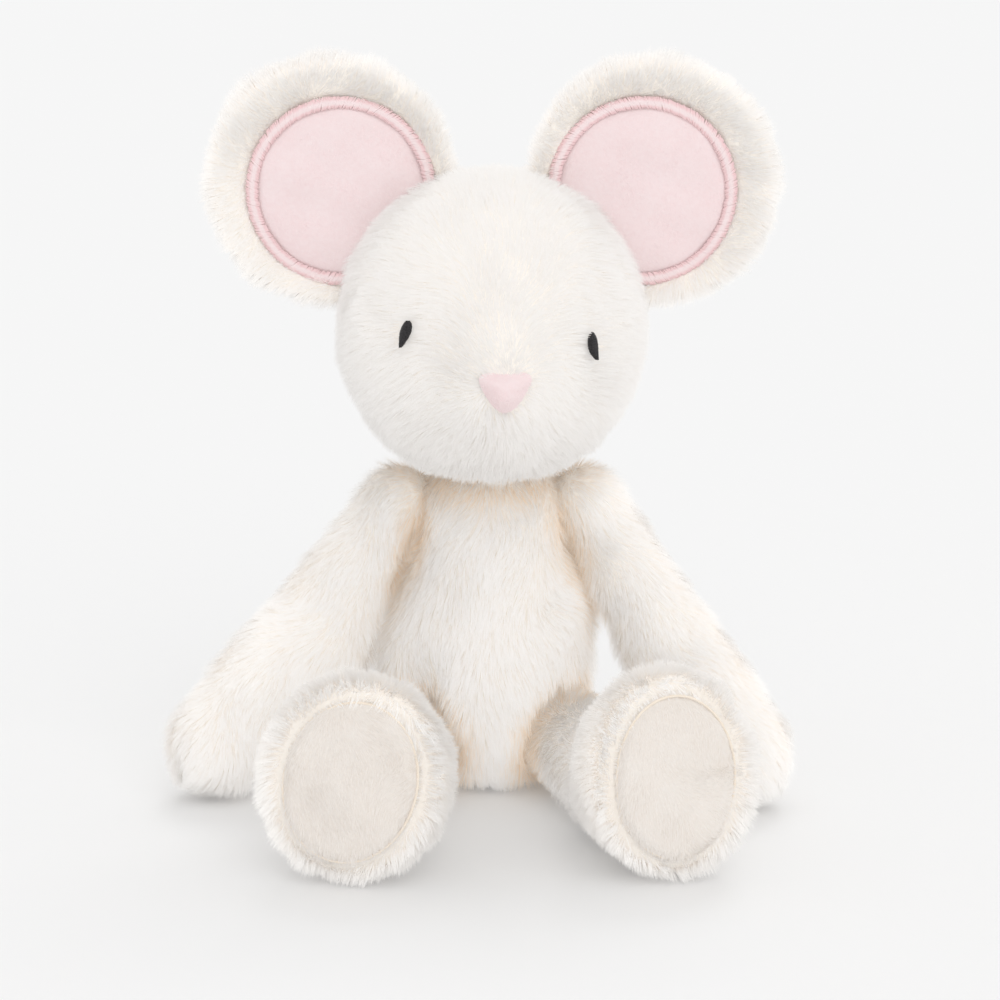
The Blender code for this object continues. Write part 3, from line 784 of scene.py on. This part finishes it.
# The nose's outline is rounded off from four sides: the way each faces, and how far out it is
NOSE_SIDES = (
    (pi / 2, 4.9 * MM),
    (radians(-27), 6.1 * MM),
    (radians(207), 6.1 * MM),
    (-pi / 2, 8.0 * MM),
)
NOSE_CORNERS = 3  # the higher, the sharper its corners
NOSE_FLAT = 2.4  # the higher, the flatter its middle
NOSE_LIFT = -0.5 * MM  # how far above the CAD nose's middle the sides are counted from
NOSE_SIZE = (0.94, 0.95)  # of that outline, across and up
NOSE_DROP = 2.0 * MM  # how far the nose pad's middle is below the CAD nose's
NOSE_BULGE = 2.0 * MM  # how far its middle stands out
NOSE_TUCK = 1.6 * MM  # how far the nose's edge goes back into the pile


def nose():
    """A soft pink wedge, arched on top and round at its lower point, with its own short pile."""
    spot = Spot("nose")
    rows, columns = 10, 60
    points = [spot.at(0.0, NOSE_LIFT, NOSE_BULGE)]
    for r in range(1, rows + 1):
        share = r / rows
        for c in range(columns):
            t = 2 * pi * c / columns
            near = [max(0.0, cos(t - way) / far) ** NOSE_CORNERS for way, far in NOSE_SIDES]
            reach = share / sum(near) ** (1 / NOSE_CORNERS)
            out = NOSE_BULGE * (1 - share**NOSE_FLAT) - NOSE_TUCK * share**2
            across, up = NOSE_SIZE[0] * reach * cos(t), NOSE_SIZE[1] * reach * sin(t)
            points.append(spot.at(across, NOSE_LIFT + up, out))
    mesh = mesh_from("nose_pad", points, disc_faces(rows, columns))
    face_outwards(mesh, spot.out)
    obj = add_object("nose_pad", mesh, PINK_CLOTH, "head")
    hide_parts("nose")
    velvet("nose_pile", mesh, "head", PINK_PILE, 81, 9e6)


def face_outwards(mesh, out):
    """Turns an open sheet's faces to the side that it is seen from."""
    mean = vertex_array(mesh, "normal").mean(0)
    if mean @ out < 0:
        mesh.flip_normals()


def velvet(name, sheet, body, mat, seed, density=6e6, length=1.0 * MM, lift=0.6):
    """Short brushed pile on a sheet."""
    grow(name, sheet, body, short_pile(length, density, lift), combed((0.1, 0.0, -1.0)), mat, seed)


def short_pile(length, density, lift):
    """The cropped pile of the linings, the nose, the soles and the tail."""
    return Pile(length, density=density, lift=lift, width=0.2 * MM, clump=1.6 * MM, hold=0.2, joints=1)


# ---------- torso, arms and legs


# Where the skins are plumped out, in mm: (place, reach, rise)
TORSO_SWELLS = (
    ((19, -3, 87), 17, 5.5),
    ((-19, -3, 87), 17, 5.5),
    ((30, -4, 54), 24, 3.0),
    ((-30, -4, 46), 26, 4.0),
    ((-31, -8, 34), 20, 3.5),
    ((0, -30, 22), 34, 2.5),
)
ARM_SWELLS = {
    "left": (((46, -14, 44), 20, 3.0), ((34, -4, 62), 18, 3.5), ((24, -4, 90), 16, 3.5)),
    "right": (((-46, -10, 42), 22, 9.0), ((-36, -6, 62), 20, 3.0), ((-24, -4, 90), 16, 3.5)),
}


def torso():
    """The torso, combed downwards."""
    members = ("torso_front", "torso_back", "torso_stuffing", "seat_pellet_pouch")
    skin = skin_mesh("torso_skin", members, INSET["torso"])
    swell(skin, TORSO_SWELLS)
    obj = add_object("torso_skin", skin, BACKING, "torso")
    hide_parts(*members)
    pile = body_pile(5.6e6)
    grow("torso_fur", skin, "torso", pile, combed((0.0, -0.2, -1.0)), CREAM, 21)


def body_pile(density):
    """The long pile of the torso and the arms."""
    return Pile(5.4 * MM, lift=0.52, hold=0.36, density=density, width=0.27 * MM, clump=2.2 * MM,
                wild=0.12, twist=0.1, swirl=0.35, joints=1)


def arm(side):
    """An arm, combed from the shoulder to the paw."""
    members = [f"arm_{side}_{part}" for part in ("outer", "inner", "stuffing")]
    skin = skin_mesh(f"arm_{side}_skin", members, INSET["arm"])
    swell(skin, ARM_SWELLS[side])
    body = f"arm_{side}"
    obj = add_object(f"{body}_skin", skin, BACKING, body)
    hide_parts(*members)
    root = np.array(joints[f"shoulder_{side}_lift"]["pos_m"])
    low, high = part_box(members[0])
    paw = np.array(((low.x if side == "right" else high.x), low.y, low.z))
    pile = body_pile(5.4e6)
    grow(f"{body}_fur", skin, body, pile, combed(paw - root), CREAM, 31 + SIDES[side])


FUR_FROM = 0.94  # of the sole's half size: the fur begins a little under the sole's edge
FRINGE_WIDTH = 0.07  # of the sole's half size: the fringe that is combed over the seam
FRINGE_TURN = 0.9  # how strongly it is combed inwards, against FOOT_SPREAD
FRINGE_SHORT = 0.45  # the share of the pile's length that is cut away there
FOOT_SPREAD = 0.5  # how strongly the fur round the foot is combed outwards
FOOT_ALONG = 0.5  # how strongly all of it is combed towards the sole
FRONT_START = 10 * MM  # how far behind the sole the comb begins to turn outwards
FRONT_ZONE = 8 * MM  # the stretch in which it turns


def leg(side):
    """A leg, combed towards the foot and outwards round it, and its sole."""
    members = [f"leg_{side}_{part}" for part in ("outer", "inner", "stuffing", "sole")]
    body = f"leg_{side}"
    skin = skin_mesh(f"{body}_skin", members, INSET["leg"], smoothing=8)
    obj = add_object(f"{body}_skin", skin, BACKING, body)
    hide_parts(*members)
    axis = Vector(joints[f"hip_{side}_lift"]["axis"])
    along = np.array(Vector((0, 0, 1)).cross(axis)[:])
    sole = Sole(side, along)

    def comb(roots, normals):
        from_middle = roots - sole.middle
        reach = from_middle @ along
        out = from_middle - reach[:, None] * along
        front = np.clip((reach + FRONT_START) / FRONT_ZONE, 0, 1)[:, None]
        over = sole.fringe(roots)[:, None]
        outward = unit(out) * front * (FOOT_SPREAD - FRINGE_TURN * over)
        return flatten(along * (1 - front) + outward + along * FOOT_ALONG, normals)

    def shorter_by_sole(roots):
        return 1 - FRINGE_SHORT * sole.fringe(roots)

    def weight(places, normals):
        return np.where(sole.share_of(places) < FUR_FROM, 0.0, 1.0)

    pile = Pile(5.8 * MM, lift=0.58, hold=0.4, wild=0.13, twist=0.12, swirl=0.4)
    seed = 41 + SIDES[side]
    grow(f"{body}_fur", skin, body, pile, comb, CREAM, seed, weight, shorter_by_sole)
    sole.patch(body)


SOLE_REACH = 9 * MM  # how far before and behind itself the sole counts places as near
SOLE_CROWN = 1.0 * MM  # how far its middle stands out
SOLE_EDGE_DROP = 2.4 * MM  # how far its edge goes back into the fur
SOLE_EDGE_ZONE = 0.14  # the share of its half size, at the edge, in which it goes back
SEAM_AT = 0.985  # of the sole's half size
SEAM_DEPTH = 1.9  # mm under the sole's plane
SEAM_WAVE = 0.7  # mm, so that the fur hides some stretches more than others
SEAM_TURN = 0.6  # radians by which that wave is turned round the sole
SEAM_PLIES = 40
SEAM_THICK = (0.36, 0.05)  # mm: half the cord's thickness, and how far its plies change that


class Sole:
    """The short-pile patch on a foot: its middle, its long and short half sizes, and its lean."""

    def __init__(self, side, along):
        self.side = side
        points = vertex_array(nodes[f"leg_{side}_sole"].data)
        self.along = along
        self.middle = (points.max(0) + points.min(0)) / 2
        self.middle += along * ((points @ along).max() - self.middle @ along)
        flat = points - self.middle
        flat = flat - np.outer(flat @ along, along)
        ways = np.linalg.eigh(flat.T @ flat)[1]
        self.long, self.short = ways[:, 2], ways[:, 1]
        self.half = [np.abs(flat @ way).max() for way in (self.long, self.short)]

    def share_of(self, places):
        """0 at the middle of the sole, 1 on its edge, large away from the foot's front."""
        off = places - self.middle
        share = np.hypot(off @ self.long / self.half[0], off @ self.short / self.half[1])
        return np.where(np.abs(off @ self.along) < SOLE_REACH, share, 9.0)

    def fringe(self, places):
        """1 on the sole's edge, and 0 well away from it."""
        return np.exp(-(((self.share_of(places) - 1) / FRINGE_WIDTH) ** 2))

    def at(self, share, turn, rise):
        """A place on the sole: a share of its half size, an angle round it, and a height over it."""
        across = self.long * (self.half[0] * share * cos(turn))
        return self.middle + across + self.short * (self.half[1] * share * sin(turn)) + self.along * rise

    def patch(self, body):
        """The patch itself, its pile and its seam."""
        rows, columns = 14, 72
        points = [self.at(0.0, 0.0, SOLE_CROWN)]
        for r in range(1, rows + 1):
            share = r / rows
            inwards = max(0.0, share - (1 - SOLE_EDGE_ZONE)) ** 2 / SOLE_EDGE_ZONE**2
            rise = SOLE_CROWN * (1 - share**2) - SOLE_EDGE_DROP * inwards
            points += [self.at(share, 2 * pi * c / columns, rise) for c in range(columns)]
        points = np.array(points)
        points += np.outer(wave_noise(points, 8 * MM, 5, 1)[:, 0] * WRINKLE * MM, self.along)
        mesh = mesh_from(f"{body}_sole_patch", points, disc_faces(rows, columns))
        face_outwards(mesh, self.along)
        obj = add_object(f"{body}_sole_patch", mesh, SOLE_CLOTH, body)
        velvet(f"{body}_sole_pile", mesh, body, SHORT_PILE, 85 + SIDES[self.side],
               length=2.6 * MM, lift=0.42)
        self.seam(body)

    def seam(self, body):
        """The seam cord sunk between the sole and the fur; its tan is the painted shade of the line
        where the pile parts.
        """
        columns, sides = 160, 6
        points = []
        for c in range(columns):
            turn = 2 * pi * c / columns
            middle = self.at(SEAM_AT, turn, (SEAM_WAVE * sin(turn + SEAM_TURN) - SEAM_DEPTH) * MM)
            out = unit((middle - self.middle)[None])[0]
            thick = (SEAM_THICK[0] + SEAM_THICK[1] * sin(turn * SEAM_PLIES)) * MM
            points += ring(middle, thick, sides, out, self.along)
        faces = grid_faces(columns + 1, sides, closed=True)
        faces = [tuple(k % (columns * sides) for k in face) for face in faces]
        mesh = mesh_from(f"{body}_sole_seam", points, faces)
        add_object(f"{body}_sole_seam", mesh, SEAM_SHADE_TAN, body)


# ---------- ears


PATCH_FROM_HINGE = 10.1 * MM  # how far outwards from the hinge the patch's middle is
HINGE_FROM_HEAD = 48.4 * MM  # how far outwards from the head's middle the hinge is
TUCK = 40.0 * MM  # how near the head's middle the ear's lining goes, under the head's pile
ROOT_END = 51.8 * MM  # how near the ear's skin goes before it is drawn out
ROOT_ZONE = 12 * MM  # the stretch of the ear that is drawn out to the tuck
BAND_R = (24.1 * MM, 27.2 * MM)  # inside and outside of the stitching
STITCH_PITCH = 0.44 * MM
STITCH_THREAD = 0.31 * MM  # half of a thread's thickness
STITCH_TAPER = 0.68
STITCH_ARCH = 0.45 * MM  # how far a stitch's middle stands over its ends
STITCH_FORWARD = 1.2 * MM  # how far its ends stand before the lining's edge
STITCH_SLANT = (0.03, 0.004)  # radians by which it slants, and by which that varies
STITCH_RAGGED = 0.4  # mm by which its ends vary
LINING_FORWARD = 1.6 * MM  # how far the lining stands before the CAD's recess
LINING_SWELL = 2.4 * MM
LINING_UNDER = 0.6 * MM  # how far it goes on under the stitching
EAR_R = 37.2 * MM
EAR_BARE = 0.985  # of the stitching's outer edge: there is no fur within this
PATCH_OFFSET = 4 * MM  # how much nearer the head the patch's middle is than the ear's
EAR_CUP = 2.5 * MM  # how far the ear's side edges curl forward
BORDER_Y = (-1.6 * MM, -2.7 * MM)  # the fur border's skin beside the stitching and on its crest
CREST_AT = 0.42  # of the way from the stitching to the rim
CREST_END = (0.62, 0.92)  # the stretch in which the crest gives way to the rim
BORDER_START = 0.12  # of the same way: the stretch under the stitching in which the border begins
FACES_FRONT = 0.4  # what a normal has towards the front where the border is moved in full


class Ear:
    """An ear's frame: the head's and the patch's middles, its outward and sideways directions."""

    def __init__(self, side):
        self.side = side
        joint = joints[f"ear_{side}_flop"]
        self.hinge = np.array(joint["pos_m"])
        self.across = np.array(joint["axis"])
        sign = SIDES[side]
        self.out = np.array((sign * self.across[2], 0.0, -sign * self.across[0]))
        self.head = self.hinge - self.out * HINGE_FROM_HEAD
        self.middle = self.hinge + self.out * PATCH_FROM_HINGE
        self.apart = HINGE_FROM_HEAD + PATCH_FROM_HINGE
        points = vertex_array(nodes[f"ear_{side}_stitching"].data)
        self.floor = points[:, 1].max() - LINING_FORWARD

    def reach(self, radius, turn, root=TUCK):
        """A disc's radius, or less where the ear's root cuts the disc off."""
        under = (self.apart * cos(turn)) ** 2 - (self.apart**2 - root**2)
        if cos(turn) >= 0 or under <= 0:
            return radius
        return min(radius, -self.apart * cos(turn) - sqrt(under))

    def last_turn(self, radius, root=TUCK):
        """The angle at which a disc's edge meets the ear's root."""
        return acos((root**2 - self.apart**2 - radius**2) / (2 * self.apart * radius))

    def point(self, turn, radius, y):
        """A place on the ear: an angle and a radius round the patch's middle, and a depth."""
        at = self.middle + self.out * (radius * cos(turn)) + self.across * (radius * sin(turn))
        return np.array((at[0], y, at[2]))

    def share_of(self, places):
        """Distance from the patch's middle, as a share of the stitching's outer edge."""
        flat = places - self.middle
        return np.hypot(flat @ self.across, flat @ self.out) / BAND_R[1]

    def puffed(self, points, normals):
        """The front brought forward between the stitching and the rim, so that no trough is left."""
        flat = points - self.middle
        along, aside = flat @ self.out, flat @ self.across
        turn = np.arctan2(aside, along)
        rim = PATCH_OFFSET * np.cos(turn) + np.sqrt(EAR_R**2 - (PATCH_OFFSET * np.sin(turn)) ** 2)
        share = (np.hypot(along, aside) - BAND_R[1]) / (rim - BAND_R[1])
        rise = 1 - (1 - np.clip(share / CREST_AT, 0, 1)) ** 2
        wanted = BORDER_Y[0] + (BORDER_Y[1] - BORDER_Y[0]) * rise - EAR_CUP * (aside / EAR_R) ** 2
        end = np.clip((CREST_END[1] - share) / (CREST_END[1] - CREST_END[0]), 0, 1)
        start = np.clip((share + BORDER_START) / BORDER_START, 0, 1)
        front = np.clip(-normals[:, 1] / FACES_FRONT, 0, 1)
        moved = points.copy()
        moved[:, 1] += np.minimum(0.0, wanted - points[:, 1]) * start * end * front
        return moved

    def drawn_out(self, points):
        """Points near the root moved towards the head, so that the ear grows out of its pile."""
        flat = points - self.head
        flat[:, 1] = 0
        apart = np.linalg.norm(flat, axis=1)
        share = np.clip((ROOT_END + ROOT_ZONE - apart) / ROOT_ZONE, 0, 1)[:, None]
        return points - unit(flat) * share * (ROOT_END - TUCK)

    def attach(self, obj):
        """Leaves an ear's piece without a parent, its place baked into its mesh."""
        obj.parent = None
        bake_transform(obj)
        return obj


def ear(side):
    """An ear, combed outwards from its lining's middle, with its lining and stitching."""
    body = f"ear_{side}"
    place = Ear(side)
    members = [f"{body}_{part}" for part in ("front", "back")]
    skin = skin_mesh(f"{body}_skin", members, INSET["ear"], smoothing=26, voxel=1.3 * MM)
    points = place.puffed(vertex_array(skin), vertex_array(skin, "normal"))
    set_points(skin, place.drawn_out(points))
    obj = add_object(f"{body}_skin", skin, BACKING, None)
    place.attach(obj)
    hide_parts(*members)

    def comb(roots, normals):
        out = roots - place.middle
        out[:, 1] = 0
        return unit(out)

    def weight(places, normals):
        covered = (place.share_of(places) < EAR_BARE) & (normals[:, 1] < 0)
        return np.where(covered, 0.0, 1.0)

    pile = Pile(4.9 * MM, lift=0.5, hold=0.3, density=6e6, width=0.26 * MM, clump=2.2 * MM, wild=0.13,
                twist=0.1, swirl=0.35, droop=0.0, joints=1)
    fur = grow(f"{body}_fur", skin, None, pile, comb, CREAM, 51 + SIDES[side], weight)
    place.attach(fur)
    ear_lining(place, body)
    ear_stitching(place, body)


def ear_lining(place, body):
    """The pink lining: a disc that swells a little between its stitched edges."""
    rows, columns = 16, 96
    edge = place.floor
    turns = np.linspace(0, 2 * pi, columns, endpoint=False)
    rim = np.array([place.reach(BAND_R[0] + LINING_UNDER, t) for t in turns])
    points = [place.point(0.0, 0.0, edge - LINING_SWELL)]
    for r in range(1, rows + 1):
        share = r / rows
        y = edge - LINING_SWELL * (1 - share**4) ** 0.5
        points += [place.point(t, radius * share, y) for t, radius in zip(turns, rim, strict=True)]
    points = np.array(points)
    points[:, 1] += wave_noise(points, 9 * MM, 9, 1)[:, 0] * WRINKLE * MM
    mesh = mesh_from(f"{body}_lining", points, disc_faces(rows, columns))
    face_outwards(mesh, np.array((0.0, -1.0, 0.0)))
    obj = place.attach(add_object(f"{body}_lining", mesh, PINK_CLOTH, None))
    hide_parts(f"{body}_patch")
    seed = 91 + SIDES[place.side]
    velvet(f"{body}_lining_pile", mesh, None, PINK_PILE, seed)
    place.attach(bpy.data.objects[f"{body}_lining_pile"])


def ear_stitching(place, body):
    """Satin stitching round the lining's arc: threads laid side by side across the band."""
    inside, outside = BAND_R
    last = place.last_turn(outside, TUCK + 2 * MM)
    count = int(2 * last * outside / STITCH_PITCH)
    rng = np.random.default_rng(61)
    rows = 7
    threads = []
    for k in range(count):
        turn = -last + 2 * last * (k + rng.uniform(-0.1, 0.1)) / count
        slant = STITCH_SLANT[0] + rng.normal() * STITCH_SLANT[1]
        start = inside - rng.uniform(0.0, STITCH_RAGGED) * MM
        end = outside + rng.uniform(0.0, STITCH_RAGGED) * MM
        path, radii = [], []
        for r in range(rows):
            share = r / (rows - 1)
            height = STITCH_ARCH * sin(pi * (0.06 + 0.88 * share)) ** 0.6
            y = place.floor - STITCH_FORWARD - height
            path.append(place.point(turn + slant * (2 * share - 1), start + (end - start) * share, y))
            radii.append(STITCH_THREAD * taper(STITCH_TAPER, share))
        side = unit((place.point(turn + 0.01, outside, 0.0) - place.point(turn, outside, 0.0))[None])[0]
        threads.append(tube(path, radii, THREAD_SIDES, side, np.array((0.0, 1.0, 0.0))))
    mesh = mesh_from(f"{body}_satin_stitching", *gather(threads))
    thread_layer(mesh, rows, THREAD_SIDES, rng)
    obj = place.attach(add_object(f"{body}_satin_stitching", mesh, ROSE, None))
    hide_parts(f"{body}_stitching")


# ---------- tail, floor and the whole


TAIL_ZONE = 14 * MM  # the stretch of the tail that is drawn out
TAIL_TUCK = 6.5 * MM  # how far its root is drawn into the torso's pile


def tail():
    """Short pink pile on a skin whose root goes into the torso's pile."""
    skin = skin_mesh("tail_skin", ("tail",), INSET["tail"], smoothing=4, voxel=0.8 * MM)
    points = vertex_array(skin)
    points[:, 1] -= TAIL_TUCK * np.clip(1 - (points[:, 1] - points[:, 1].min()) / TAIL_ZONE, 0, 1)
    set_points(skin, points)
    obj = add_object("tail_skin", skin, PINK_CLOTH, "tail")
    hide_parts("tail")
    pile = short_pile(1.3 * MM, 8e6, 0.5)
    grow("tail_pile", skin, "tail", pile, combed((0.0, 1.0, 0.0)), PINK_PILE, 95)


def floor():
    """A matt floor far wider than the picture, a hair under the toy."""
    corners = [(-40, -40, 0), (40, -40, 0), (40, 40, 0), (-40, 40, 0)]
    mesh = mesh_from("floor", corners, [(0, 1, 2, 3)])
    mesh.materials.append(floor_material())
    ground = bpy.data.objects.new("floor", mesh)
    ground.location.z = -0.2 * MM
    bpy.context.scene.collection.objects.link(ground)


def main():
    camera()
    light()
    floor()
    head()
    torso()
    for side in SIDES:
        ear(side)
        arm(side)
        leg(side)
    tail()


main()
